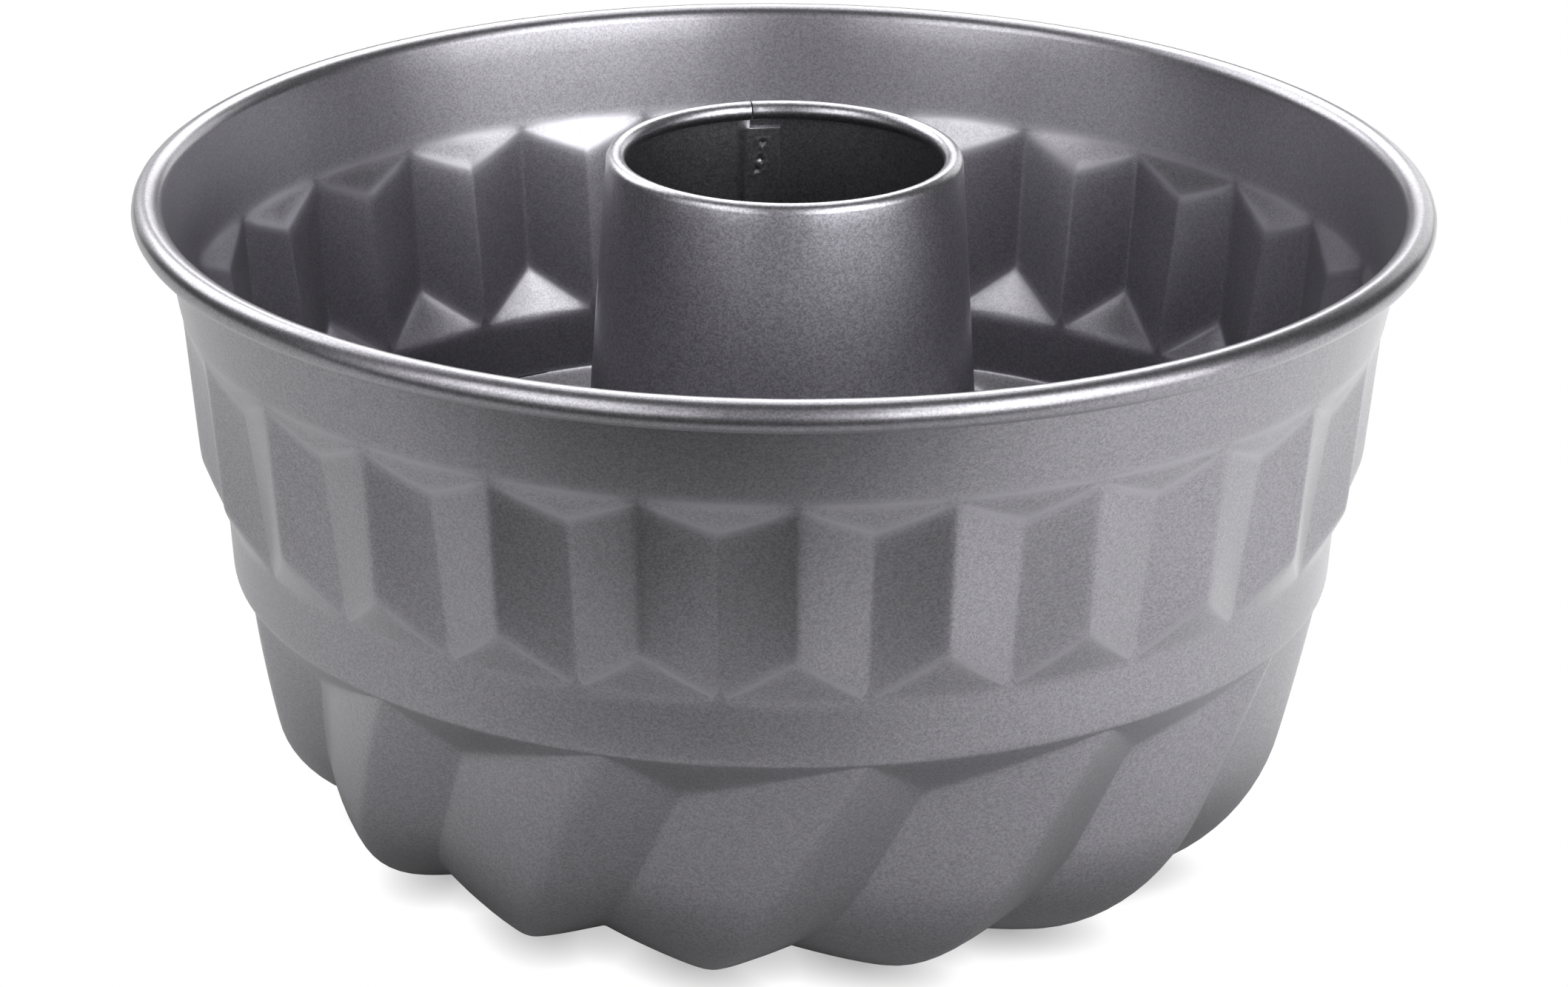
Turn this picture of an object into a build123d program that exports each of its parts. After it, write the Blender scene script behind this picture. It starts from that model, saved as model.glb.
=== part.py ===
from build123d import *
import math
import os

# Two-tier bundt pan: a pressed sheet-steel shell with a wired rim, and a chimney (centre tube)
# rolled from sheet, whose foot is hemmed round the collar of the shell's centre hole.
# Millimetres, +Z up. The origin is on the pan's axis, on the surface that the pan stands on.
# Angles are in degrees, from the front (-Y) towards +X. A profile point is (radius, height).

# ---- driving dimensions ---------------------------------------------------------------
SHEET = 0.6                     # bowl shell
TUBE_SHEET = 0.5                # chimney

# rolled rim
RIM_RADIUS = 110.0              # outermost radius of the pan
RIM_BEAD_RADIUS = 2.65          # outside of the rolled edge
RIM_BEAD_HEIGHT = 113.9         # centre of the rolled edge
RIM_ROLL = 318.0                # how far the edge is rolled round its wire
RIM_JOINT_HEIGHT = 109.4        # the rolled edge's profile takes over from the wall here

# upper tier: a plain collar, then a ring of upright V-facets
FACET_COUNT = 26
FACET_PHASE = 1.4               # a ridge stands this far right of the front
COLLAR_FOOT = (102.4, 97.3)     # where the plain collar ends
RIDGE_TOP = (102.25, 97.3)
RIDGE_BOTTOM = (100.0, 70.3)
VALLEY_APEX = (99.75, 91.9)     # lower tip of the triangle at the top of a valley
VALLEY_BOTTOM = (95.3, 61.8)

# plain band between the tiers
BAND_TOP = (95.5, 61.8)
BAND_FOOT = (94.8, 50.4)

# plain plugs from which the tiers are put together
BURIED = 4.0                    # overlap of a plug with its neighbour
SHELF_REACH = 15.0              # height of the cone that cuts a tier's valleys off at the top

# lower tier: swirled flutes that run under the pan to the chimney
FLUTE_COUNT = 14
FLUTE_PHASE = 8.6               # a ridge leaves the band this far right of the front
FLUTE_DRAFT = 12.6              # slope of the ridges from the vertical
FLUTE_SPLIT = 0.40              # share of the pitch from a ridge to the valley right of it
FLUTE_TWIST = 0.311             # swirl for each millimetre along a ridge
FLUTE_DEPTH_TOP = 5.8
FLUTE_DEPTH_FLOOR = 5.3
FLUTE_SHELF_FOOT = (87.1, 42.4)  # lower tip of the triangle at the top of a flute's valley
OUTER_BEND_RADIUS = 30.4        # big bend of the lobes from the wall to the floor
INNER_BEND_RADIUS = 20.0        # smaller bend from the floor up towards the chimney
INNER_BEND_ANGLE = 55.0
FLUTE_START = 0.15              # the flutes begin this far below the band, inside the shelf
LAND_DEPTH = 0.95               # the lobes' lowest points are flattened by this much

# chimney
CHIMNEY_RADIUS = 30.7           # outside, level with the centre of the rim's bead
CHIMNEY_TAPER = 0.0675          # growth of the radius for each millimetre down
CHIMNEY_LEAN = math.degrees(math.atan(CHIMNEY_TAPER))
CHIMNEY_TOP = 121.5
CURL_RADIUS = 1.65              # outside of the chimney's curled top edge
CURL_ROLL = 300.0
HEM_FOOT = 5.4                  # lowest point of the hem
HEM_TOP = 9.1
SEAM_ANGLE = 192.0              # the lap seam is at the back, a little left of the middle
SEAM_GAP = 0.25                 # butt gap of the outer layer
LAP_ARC = 10.3                  # angle that the inner layer reaches under the outer one
JOGGLE_ARC = 2.4                # the inner layer steps in from the wall over this angle
LAP_CLEARANCE = 0.05            # between the two layers
LAP_TOP = 117.6
LAP_BOTTOM = 8.4
LAP_NOTCH = 0.4                 # slit that frees the lap from the curl and from the hem
WELD_RADIUS = 0.7
WELD_MARK = 0.12                # depth of a weld's mark on the inside
WELD_SINK = 0.03                # and on the outside
WELDS = ((-0.7, 114.2), (0.0, 111.4), (1.5, 109.4), (0.0, 30.0), (-0.5, 24.0), (0.0, 18.0))

# collar of the shell's centre hole, which the chimney's hem grips
HOLE_BEND_RADIUS = 1.9          # on the cake's side
HOLE_EDGE = 6.3                 # free edge of the collar
HOLE_LEDGE = 0.2                # flat ring between the end of the flutes and the collar


# ---- helpers --------------------------------------------------------------------------
def on_circle(radius, height, angle):
    """Point at a radius and height, an angle round from the front."""
    turn = math.radians(angle)
    return Vector(radius * math.sin(turn), -radius * math.cos(turn), height)


def polar(centre, radius, angle):
    """Profile point at an angle, from the outward direction, round a profile point."""
    turn = math.radians(angle)
    return centre[0] + radius * math.cos(turn), centre[1] + radius * math.sin(turn)


def radius_at(side, height):
    """Radius, at a height, of the straight line through two profile points."""
    start, end = side
    share = (height - start[1]) / (end[1] - start[1])
    return start[0] + (end[0] - start[0]) * share


def beside(side, distance):
    """The line moved square to itself: outwards, or inwards by a negative distance."""
    start, end = side
    push = distance * math.dist(start, end) / abs(end[1] - start[1])
    return (start[0] + push, start[1]), (end[0] + push, end[1])


def crossing(first, second):
    """Profile point where two lines meet."""
    level = [radius_at(side, 0) for side in (first, second)]
    slope = [radius_at(side, 1) - radius_at(side, 0) for side in (first, second)]
    height = (level[1] - level[0]) / (slope[0] - slope[1])
    return level[0] + slope[0] * height, height


def straight(start, end):
    """Straight edge of a profile."""
    return Edge.make_line((start[0], 0, start[1]), (end[0], 0, end[1]))


def arc(centre, radius, start, end):
    """Round edge of a profile, between two angles round a profile point."""
    marks = [polar(centre, radius, angle) for angle in (start, (start + end) / 2, end)]
    return Edge.make_three_point_arc(*[(mark[0], 0, mark[1]) for mark in marks])


def turned(edges, start=0, sweep=360):
    """Solid of revolution of a closed profile, from an angle over a sweep."""
    profile = Face(Wire(edges)).rotate(Axis.Z, start - 90)
    return Solid.revolve(profile, sweep, Axis.Z)


def polygon(*points):
    """Edges of a closed polygon of profile points."""
    return [straight(start, end) for start, end in zip(points, points[1:] + points[:1])]


# ---- bowl: upper tier -----------------------------------------------------------------
def rim():
    """Centre of the rolled edge, and the outside of the collar's wall, tangent to its bore."""
    centre = (RIM_RADIUS - RIM_BEAD_RADIUS, RIM_BEAD_HEIGHT)
    reach = math.dist(COLLAR_FOOT, centre)
    lean = math.asin((centre[0] - COLLAR_FOOT[0]) / reach)
    lean -= math.asin((RIM_BEAD_RADIUS - SHEET) / reach)
    touch = polar(centre, RIM_BEAD_RADIUS - SHEET, 180 - math.degrees(lean))
    return centre, (COLLAR_FOOT, touch), 180 - math.degrees(lean)


def facet_ring(inset):
    """Star-shaped plug with all V-facets of the upper tier."""
    half_pitch = math.pi / FACET_COUNT
    wires = []
    for height in (COLLAR_FOOT[1], BAND_TOP[1] - BURIED / 2):
        ridge = radius_at((RIDGE_TOP, RIDGE_BOTTOM), height)
        valley = radius_at((VALLEY_APEX, VALLEY_BOTTOM), height)
        push = valley - radius_at(beside((VALLEY_APEX, VALLEY_BOTTOM), -inset), height)
        # angle between a facet and the circle's tangent at its valley
        lean = math.atan2(ridge * math.cos(half_pitch) - valley, ridge * math.sin(half_pitch))
        corners = []
        for index in range(FACET_COUNT):
            angle = FACET_PHASE + 360 * index / FACET_COUNT
            corners.append(on_circle(ridge - push / math.cos(lean + half_pitch), height, angle))
            angle += 180 / FACET_COUNT
            corners.append(on_circle(valley - push / math.cos(lean), height, angle))
        wires.append(Wire.make_polygon(corners, close=True))
    return Solid.make_loft(wires, ruled=True)


def tier(top, wall, shelf):
    """Plug under a plain wall, and the cone by which it narrows to the pattern below it."""
    corner = crossing(shelf, wall)
    foot = corner[1] - SHELF_REACH
    return turned(polygon(
        (0, foot),
        (radius_at(shelf, foot), foot),
        corner,
        (radius_at(wall, top), top),
        (0, top),
    ))


def upper_form(inset):
    """Upper tier and the band as a plug, its surface moved in by an inset."""
    step = beside((BAND_TOP, RIDGE_BOTTOM), -inset)
    low = BAND_TOP[1] - BURIED
    high = COLLAR_FOOT[1] + BURIED
    step_plug = turned(polygon(
        (0, low), (radius_at(step, low), low), (radius_at(step, high), high), (0, high)
    ))
    collar = beside(rim()[1], -inset)
    shelf = beside((VALLEY_APEX, COLLAR_FOOT), -inset)
    band = beside((BAND_FOOT, BAND_TOP), -inset)
    flute_shelf = beside((FLUTE_SHELF_FOOT, BAND_FOOT), -inset)
    facets = facet_ring(inset) & step_plug
    return facets + tier(RIM_JOINT_HEIGHT, collar, shelf) + tier(BAND_TOP[1] + BURIED, band, flute_shelf)


# ---- bowl: lower tier -----------------------------------------------------------------
def flute_runs():
    """Distances along a ridge, from the band to the bend, the floor and the flutes' end."""
    draft = math.radians(FLUTE_DRAFT)
    drop = BAND_FOOT[1] + LAND_DEPTH - OUTER_BEND_RADIUS * (1 - math.sin(draft))
    bend = drop / math.cos(draft)
    floor = bend + OUTER_BEND_RADIUS * (math.pi / 2 - draft)
    return bend, floor, floor + INNER_BEND_RADIUS * math.radians(INNER_BEND_ANGLE)


def floor_radius():
    """Radius of the ring on which the lobes touch the floor."""
    draft = math.radians(FLUTE_DRAFT)
    bend = flute_runs()[0]
    return BAND_FOOT[0] - math.sin(draft) * bend - OUTER_BEND_RADIUS * math.cos(draft)


def ridge_point(run):
    """Radius, height and slope (radians from the vertical) of a ridge at a run."""
    draft = math.radians(FLUTE_DRAFT)
    bend, floor, _ = flute_runs()
    if run <= bend:
        return BAND_FOOT[0] - math.sin(draft) * run, BAND_FOOT[1] - math.cos(draft) * run, draft
    radius = OUTER_BEND_RADIUS if run <= floor else INNER_BEND_RADIUS
    slope = math.pi / 2 + (run - floor) / radius
    height = -LAND_DEPTH + radius * (1 - math.sin(slope))
    return floor_radius() + radius * math.cos(slope), height, slope


def flute_depth(run):
    """Depth of a valley, square to the ridge line, at a run."""
    _, floor, end = flute_runs()
    if run <= floor:
        return FLUTE_DEPTH_TOP + (FLUTE_DEPTH_FLOOR - FLUTE_DEPTH_TOP) * run / floor
    share = (run - floor) / (end - floor)
    return FLUTE_DEPTH_FLOOR * (1 - share * share * (3 - 2 * share))


def flute_point(run, share, offset, inset):
    """Point of the flutes: share is 0 on a ridge and 1 in a valley."""
    depth = flute_depth(run) * share
    # the first outline is level, so a valley is read further along than a ridge
    lag = max(0, 1 - (run - FLUTE_START) / (flute_runs()[0] - FLUTE_START))
    run += lag * depth * math.tan(math.radians(FLUTE_DRAFT))
    radius, height, slope = ridge_point(run)
    depth += inset
    angle = FLUTE_PHASE + offset - FLUTE_TWIST * run
    return on_circle(radius - depth * math.cos(slope), height + depth * math.sin(slope), angle)


def flute_outline(run, inset):
    """Closed outline of all flutes at a run."""
    pitch = 360 / FLUTE_COUNT
    edges = []
    for index in range(FLUTE_COUNT):
        ridge = index * pitch
        valley = ridge + FLUTE_SPLIT * pitch
        for start, end, first in ((ridge, valley, 0), (valley, ridge + pitch, 1)):
            edges.append(Edge.make_spline([
                flute_point(run, first, start, inset),
                flute_point(run, 0.5, (start + end) / 2, inset),
                flute_point(run, 1 - first, end, inset),
            ]))
    return Wire(edges)


def lower_form(inset):
    """Fluted lower tier as a plug, its surface moved in by an inset."""
    bend, floor, end = flute_runs()
    runs = [FLUTE_START, bend / 3, 2 * bend / 3, bend]
    runs += [bend + (floor - bend) * step / 5 for step in range(1, 6)]
    runs += [floor + (end - floor) * step / 4 for step in range(1, 5)]
    return Solid.make_loft([flute_outline(run, inset) for run in reversed(runs)])


def pressed_form(inset, floor):
    """The whole pressing as a plug, its surface moved in by an inset and cut off at a floor."""
    form = upper_form(inset) + lower_form(inset)
    return form.split(Plane.XY.offset(floor), keep=Keep.TOP)


def rolled_edge():
    """The rim: the collar's top, rolled outwards round its wire."""
    centre, wall, start = rim()
    end = start - RIM_ROLL
    bore = RIM_BEAD_RADIUS - SHEET
    faces = beside(wall, -SHEET), wall
    foot = [(radius_at(face, RIM_JOINT_HEIGHT), RIM_JOINT_HEIGHT) for face in faces]
    return turned([
        straight(foot[0], polar(centre, RIM_BEAD_RADIUS, start)),
        arc(centre, RIM_BEAD_RADIUS, start, end),
        straight(polar(centre, RIM_BEAD_RADIUS, end), polar(centre, bore, end)),
        arc(centre, bore, end, start),
        straight(polar(centre, bore, start), foot[1]),
        straight(foot[1], foot[0]),
    ])


def hole_collar():
    """The shell's centre: it rises round the chimney and turns down on the chimney's wall."""
    radius, height, slope = ridge_point(flute_runs()[2])
    foot = (radius - HOLE_LEDGE, height + SHEET / 4)
    rise = (foot, polar(foot, 1, 270 - math.degrees(slope)))
    cake_foot = (radius_at(beside(rise, SHEET), foot[1]), foot[1])
    tube = chimney_wall()
    edges = [(radius_at(face, HOLE_EDGE), HOLE_EDGE) for face in (tube, beside(tube, SHEET))]
    centre = crossing(beside(rise, SHEET - HOLE_BEND_RADIUS), beside(tube, HOLE_BEND_RADIUS))
    start, end = 180 - math.degrees(slope), 180 + CHIMNEY_LEAN
    bore = HOLE_BEND_RADIUS - SHEET
    return turned([
        straight(cake_foot, polar(centre, HOLE_BEND_RADIUS, start)),
        arc(centre, HOLE_BEND_RADIUS, start, end),
        straight(polar(centre, HOLE_BEND_RADIUS, end), edges[0]),
        straight(edges[0], edges[1]),
        straight(edges[1], polar(centre, bore, end)),
        arc(centre, bore, end, start),
        straight(polar(centre, bore, start), foot),
        straight(foot, cake_foot),
    ])


def bowl_shell():
    """The pressed shell with its rolled rim and the collar of its centre hole."""
    shell = pressed_form(0, 0) - pressed_form(SHEET, SHEET)
    radius, height, _ = ridge_point(flute_runs()[2])
    radius -= HOLE_LEDGE + SHEET / 10
    shell -= Solid.make_cylinder(radius, 2 * height)
    return shell + rolled_edge() + hole_collar()


# ---- rim wire -------------------------------------------------------------------------
def rim_wire():
    """Wire that fills the rolled edge."""
    centre = rim()[0]
    plane = Plane((0, 0, centre[1]))
    return Solid.make_torus(centre[0], RIM_BEAD_RADIUS - SHEET, plane)


# ---- chimney --------------------------------------------------------------------------
def chimney_wall():
    """Outside of the chimney's wall."""
    return (CHIMNEY_RADIUS + CHIMNEY_TAPER * RIM_BEAD_HEIGHT, 0), (CHIMNEY_RADIUS, RIM_BEAD_HEIGHT)


def chimney_profile():
    """Section of the chimney's sheet: curled edge, wall, and hem round the hole's collar."""
    wall = chimney_wall()
    curl_height = CHIMNEY_TOP - CURL_RADIUS
    curl = (radius_at(beside(wall, -CURL_RADIUS), curl_height), curl_height)
    hem_radius = SHEET / 2 + TUBE_SHEET
    hem_height = HEM_FOOT + hem_radius
    hem = (radius_at(beside(wall, SHEET / 2), hem_height), hem_height)
    start, end = CHIMNEY_LEAN, CHIMNEY_LEAN + CURL_ROLL
    turn, rise = 180 + CHIMNEY_LEAN, 360 + CHIMNEY_LEAN
    tip = [(radius_at(beside(wall, out), HEM_TOP), HEM_TOP) for out in (SHEET, SHEET + TUBE_SHEET)]
    bore = CURL_RADIUS - TUBE_SHEET
    return [
        arc(curl, CURL_RADIUS, start, end),
        straight(polar(curl, CURL_RADIUS, end), polar(curl, bore, end)),
        arc(curl, bore, end, start),
        straight(polar(curl, bore, start), polar(hem, hem_radius, turn)),
        arc(hem, hem_radius, turn, rise),
        straight(polar(hem, hem_radius, rise), tip[1]),
        straight(tip[1], tip[0]),
        straight(tip[0], polar(hem, SHEET / 2, rise)),
        arc(hem, SHEET / 2, rise, turn),
        straight(polar(hem, SHEET / 2, turn), polar(curl, CURL_RADIUS, start)),
    ]


def wall_band(outside, inside, low, high):
    """Profile points of a band of the chimney's wall, between two depths and two heights."""
    wall = chimney_wall()
    return [
        (radius_at(beside(wall, -depth), height), height)
        for depth, height in ((inside, low), (outside, low), (outside, high), (inside, high))
    ]


def weld_discs(mark, sink):
    """Round discs where the lap seam is welded, short of its inner and outer face."""
    discs = []
    for shift, height in WELDS:
        angle = SEAM_ANGLE - LAP_ARC / 2 + shift
        end = radius_at(chimney_wall(), height) - sink
        start = radius_at(chimney_wall(), height) - 2 * TUBE_SHEET - LAP_CLEARANCE + mark
        seat = Plane(on_circle(start, height, angle), z_dir=on_circle(1, 0, angle))
        discs.append(Solid.make_cylinder(WELD_RADIUS, end - start, seat))
    return discs


def chimney_tube():
    """The chimney: a rolled sheet with its curl, hem and lapped seam."""
    half_gap = math.degrees(SEAM_GAP / 2 / CHIMNEY_RADIUS)
    tube = turned(chimney_profile(), SEAM_ANGLE + half_gap, 360 - 2 * half_gap)
    joggle = SEAM_ANGLE + half_gap + JOGGLE_ARC
    slot = wall_band(-SHEET / 2, 2 * TUBE_SHEET, LAP_BOTTOM - LAP_NOTCH, LAP_TOP + LAP_NOTCH)
    tube -= turned(polygon(*slot), SEAM_ANGLE, joggle - SEAM_ANGLE)
    step = TUBE_SHEET + LAP_CLEARANCE
    outer = wall_band(0, TUBE_SHEET, LAP_BOTTOM, LAP_TOP)
    inner = wall_band(step, step + TUBE_SHEET, LAP_BOTTOM, LAP_TOP)
    ends = []
    for points, angle in ((outer, joggle), (inner, SEAM_ANGLE + half_gap)):
        ends.append(Wire.make_polygon([on_circle(*point, angle) for point in points], close=True))
    ramp = Solid.make_loft(ends, ruled=True)
    lap = turned(polygon(*inner), SEAM_ANGLE - LAP_ARC, LAP_ARC + half_gap)
    tube = tube + ramp + lap
    for hole in weld_discs(-TUBE_SHEET, -TUBE_SHEET):
        tube -= hole
    return tube


# ---- export ---------------------------------------------------------------------------
def main():
    """Write each node's STEP file."""
    os.makedirs("parts", exist_ok=True)
    nodes = {
        "bowl_shell": bowl_shell(),
        "rim_wire": rim_wire(),
        "chimney_tube": chimney_tube(),
        "chimney_seam_welds": Compound(children=weld_discs(WELD_MARK, WELD_SINK)),
    }
    for name, shape in nodes.items():
        print(name, type(shape).__name__, shape.is_valid, round(shape.volume, 2), len(shape.faces()))
        export_step(shape, f"parts/{name}.step")


if __name__ == "__main__":
    main()
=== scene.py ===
"""A two-tier bundt pan of dark metallic non-stick sheet steel, standing in a plain pale studio."""
import logging
import math
from dataclasses import dataclass
from enum import Enum

import bmesh
import bpy
from mathutils import Matrix, Vector


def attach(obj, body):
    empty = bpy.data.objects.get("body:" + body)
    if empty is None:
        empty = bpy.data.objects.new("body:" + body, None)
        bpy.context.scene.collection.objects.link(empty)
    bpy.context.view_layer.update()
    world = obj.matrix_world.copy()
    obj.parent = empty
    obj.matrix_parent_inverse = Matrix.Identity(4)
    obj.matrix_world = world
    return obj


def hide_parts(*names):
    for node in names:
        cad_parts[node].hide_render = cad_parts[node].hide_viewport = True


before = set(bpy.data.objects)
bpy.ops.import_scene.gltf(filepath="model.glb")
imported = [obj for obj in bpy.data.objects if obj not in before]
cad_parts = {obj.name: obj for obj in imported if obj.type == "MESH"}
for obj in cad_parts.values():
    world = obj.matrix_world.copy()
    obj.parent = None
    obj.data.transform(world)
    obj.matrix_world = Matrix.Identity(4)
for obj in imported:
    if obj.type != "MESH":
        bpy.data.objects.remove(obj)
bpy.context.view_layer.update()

MM = 0.001
LOG = logging.getLogger("bundt_pan")
# name of the attribute that carries the painted highlight along the facets' edges
EDGE_HIGHLIGHT = "edge_highlight"


# ---- shader sockets as Python values ---------------------------------------------------
class Signal:
    """A value socket of a shader that takes part in Python arithmetic."""

    def __init__(self, bench: "Bench", socket: bpy.types.NodeSocket) -> None:
        """Wrap a socket of the bench's tree."""
        self.bench = bench
        self.socket = socket

    def _math(self, operation: str, *terms: "Signal | float", clamp: bool = False) -> "Signal":
        """Feed the terms to a Math node.

        Args:
            operation: the Math node's operation.
            terms: its inputs, in order.
            clamp: whether the result is held between 0 and 1.

        Returns:
            The Math node's result.
        """
        settings = {"operation": operation, "use_clamp": clamp}
        return self.bench.signal("ShaderNodeMath", settings, dict(enumerate(terms)), 0)

    def __add__(self, other: "Signal | float") -> "Signal":
        """Sum."""
        return self._math("ADD", self, other)

    def __radd__(self, other: float) -> "Signal":
        """Sum with a number on the left."""
        return self._math("ADD", other, self)

    def __sub__(self, other: "Signal | float") -> "Signal":
        """Difference."""
        return self._math("SUBTRACT", self, other)

    def __rsub__(self, other: float) -> "Signal":
        """Difference with a number on the left."""
        return self._math("SUBTRACT", other, self)

    def __mul__(self, other: "Signal | float") -> "Signal":
        """Product."""
        return self._math("MULTIPLY", self, other)

    def __rmul__(self, other: float) -> "Signal":
        """Product with a number on the left."""
        return self._math("MULTIPLY", other, self)

    def __truediv__(self, other: "Signal | float") -> "Signal":
        """Quotient."""
        return self._math("DIVIDE", self, other)

    def __pow__(self, other: float) -> "Signal":
        """Power."""
        return self._math("POWER", self, other)

    def clamped(self) -> "Signal":
        """The value held between 0 and 1."""
        return self._math("ADD", self, 0.0, clamp=True)

    def step(self, low: float, high: float) -> "Signal":
        """A straight ramp from 0 at low to 1 at high, held at both ends."""
        return ((self - low) / (high - low)).clamped()


class Bench:
    """One material's node tree, and the ways to add to it."""

    def __init__(self, name: str) -> None:
        """Start an empty material.

        Args:
            name: the material's name.
        """
        self.material = bpy.data.materials.new(name)
        self.material.use_nodes = True
        self.tree = self.material.node_tree
        self.tree.nodes.clear()

    def node(self, kind: str, settings: dict | None = None, inputs: dict | None = None) -> bpy.types.Node:
        """Add a node.

        Args:
            kind: the node's type.
            settings: its own settings, set before its sockets are filled.
            inputs: a number, colour, vector, socket or Signal for each socket's name or place.

        Returns:
            The new node.
        """
        made = self.tree.nodes.new(kind)
        for key, value in (settings or {}).items():
            setattr(made, key, value)
        for key, value in (inputs or {}).items():
            socket = made.inputs[key]
            source = value.socket if isinstance(value, Signal) else value
            if isinstance(source, bpy.types.NodeSocket):
                self.tree.links.new(source, socket)
            else:
                socket.default_value = source
        return made

    def signal(self, kind: str, settings: dict | None, inputs: dict | None, output: str | int) -> Signal:
        """Add a node and take one of its outputs as a Signal."""
        return Signal(self, self.node(kind, settings, inputs).outputs[output])

    def place(self) -> bpy.types.NodeSocket:
        """Object coordinates, in metres in the pan's frame."""
        return self.node("ShaderNodeTexCoord").outputs["Object"]

    def noise(self, place: bpy.types.NodeSocket, size: float, detail: float) -> Signal:
        """Cloudy noise around 0.5, with features of about a size in metres."""
        return self.signal("ShaderNodeTexNoise", {"noise_dimensions": "3D"},
                           {"Vector": place, "Scale": 1 / size, "Detail": detail}, 0)

    def blend(self, share: Signal | float, low: object, high: object) -> bpy.types.NodeSocket:
        """Mix two colours by a share."""
        mix = self.node("ShaderNodeMix", {"data_type": "RGBA"}, {"Factor": share, 6: low, 7: high})
        return mix.outputs[2]

    def finish(self, shader: bpy.types.Node) -> bpy.types.Material:
        """Join the shader to the material's output and return the material."""
        self.node("ShaderNodeOutputMaterial", None, {"Surface": shader.outputs[0]})
        return self.material


# ---- finishes ---------------------------------------------------------------------------
@dataclass(frozen=True)
class NonStickCoating:
    """Baked dark grey non-stick coating: fine metal flakes under a clear satin binder."""

    tone: tuple[float, float, float] = (0.296, 0.289, 0.315)
    spread: float = 0.33
    flake_size: float = 0.27 * MM
    haze_size: float = 0.6 * MM
    cloud_size: float = 38.0 * MM
    flake_share: float = 0.6
    haze_share: float = 0.3
    cloud_share: float = 0.25
    # how much lighter the painted highlight makes the facets' edges
    edge_highlight_gain: float = 1.22
    relief_strength: float = 0.12
    relief_depth: float = 0.03 * MM
    flake_relief: float = 0.3
    flake_roughness: float = 0.37
    roughness_spread: float = 0.12
    binder_roughness: float = 0.22
    binder_index: float = 1.5

    def _shade(self, factor: float) -> tuple[float, float, float, float]:
        """The coating's tone, lighter or darker by a factor."""
        return (*(channel * factor for channel in self.tone), 1.0)

    def material(self, name: str) -> bpy.types.Material:
        """Build the coating's material.

        Args:
            name: the material's name.

        Returns:
            A material that reads Object coordinates and the painted highlight along the facets' edges.
        """
        bench = Bench(name)
        place = bench.place()
        cells = bench.node("ShaderNodeTexVoronoi", {"feature": "F1"},
                           {"Vector": place, "Scale": 1 / self.flake_size, "Randomness": 1.0})
        lot = bench.signal("ShaderNodeSeparateColor", None, {"Color": cells.outputs["Color"]}, 0)
        highlight_share = bench.signal("ShaderNodeAttribute", {"attribute_name": EDGE_HIGHLIGHT}, None, "Fac")
        haze = bench.noise(place, self.haze_size, 2.0)
        cloud = bench.noise(place, self.cloud_size, 1.0)
        surplus = (self.flake_share + self.haze_share + self.cloud_share - 1) / 2
        mixed = lot * self.flake_share + haze * self.haze_share + cloud * self.cloud_share
        share = (mixed - surplus).clamped()
        colour = bench.blend(share, self._shade(1 - self.spread), self._shade(1 + self.spread))
        # painted highlight: the rings along the facets' outlines are lightened
        colour = bench.blend(highlight_share, colour, self._shade(self.edge_highlight_gain))
        relief = bench.node("ShaderNodeBump", None, {
            "Strength": self.relief_strength, "Distance": self.relief_depth,
            "Height": haze + lot * self.flake_relief,
        })
        return bench.finish(bench.node("ShaderNodeBsdfPrincipled", None, {
            "Base Color": colour,
            "Metallic": 1.0,
            "Roughness": self.flake_roughness + (haze - 0.5) * self.roughness_spread,
            "Normal": relief.outputs[0],
            "Coat Weight": 1.0,
            "Coat Roughness": self.binder_roughness,
            "Coat IOR": self.binder_index,
        }))


@dataclass(frozen=True)
class DrawnWire:
    """Bare drawn steel wire, streaked along the way it was pulled."""

    tone: tuple[float, float, float] = (0.55, 0.55, 0.56)
    streak_tone: tuple[float, float, float] = (0.36, 0.35, 0.34)
    streak_size: float = 1.1 * MM
    streak_ramp: tuple[float, float] = (0.35, 0.7)
    roughness: float = 0.28
    streak_roughness: float = 0.15

    def material(self, name: str) -> bpy.types.Material:
        """Build the wire's material.

        Args:
            name: the material's name.

        Returns:
            A material that reads Object coordinates only.
        """
        bench = Bench(name)
        share = bench.noise(bench.place(), self.streak_size, 3.0).step(*self.streak_ramp)
        colour = bench.blend(share, (*self.tone, 1), (*self.streak_tone, 1))
        return bench.finish(bench.node("ShaderNodeBsdfPrincipled", None, {
            "Base Color": colour,
            "Metallic": 1.0,
            "Roughness": self.roughness + share * self.streak_roughness,
        }))


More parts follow.
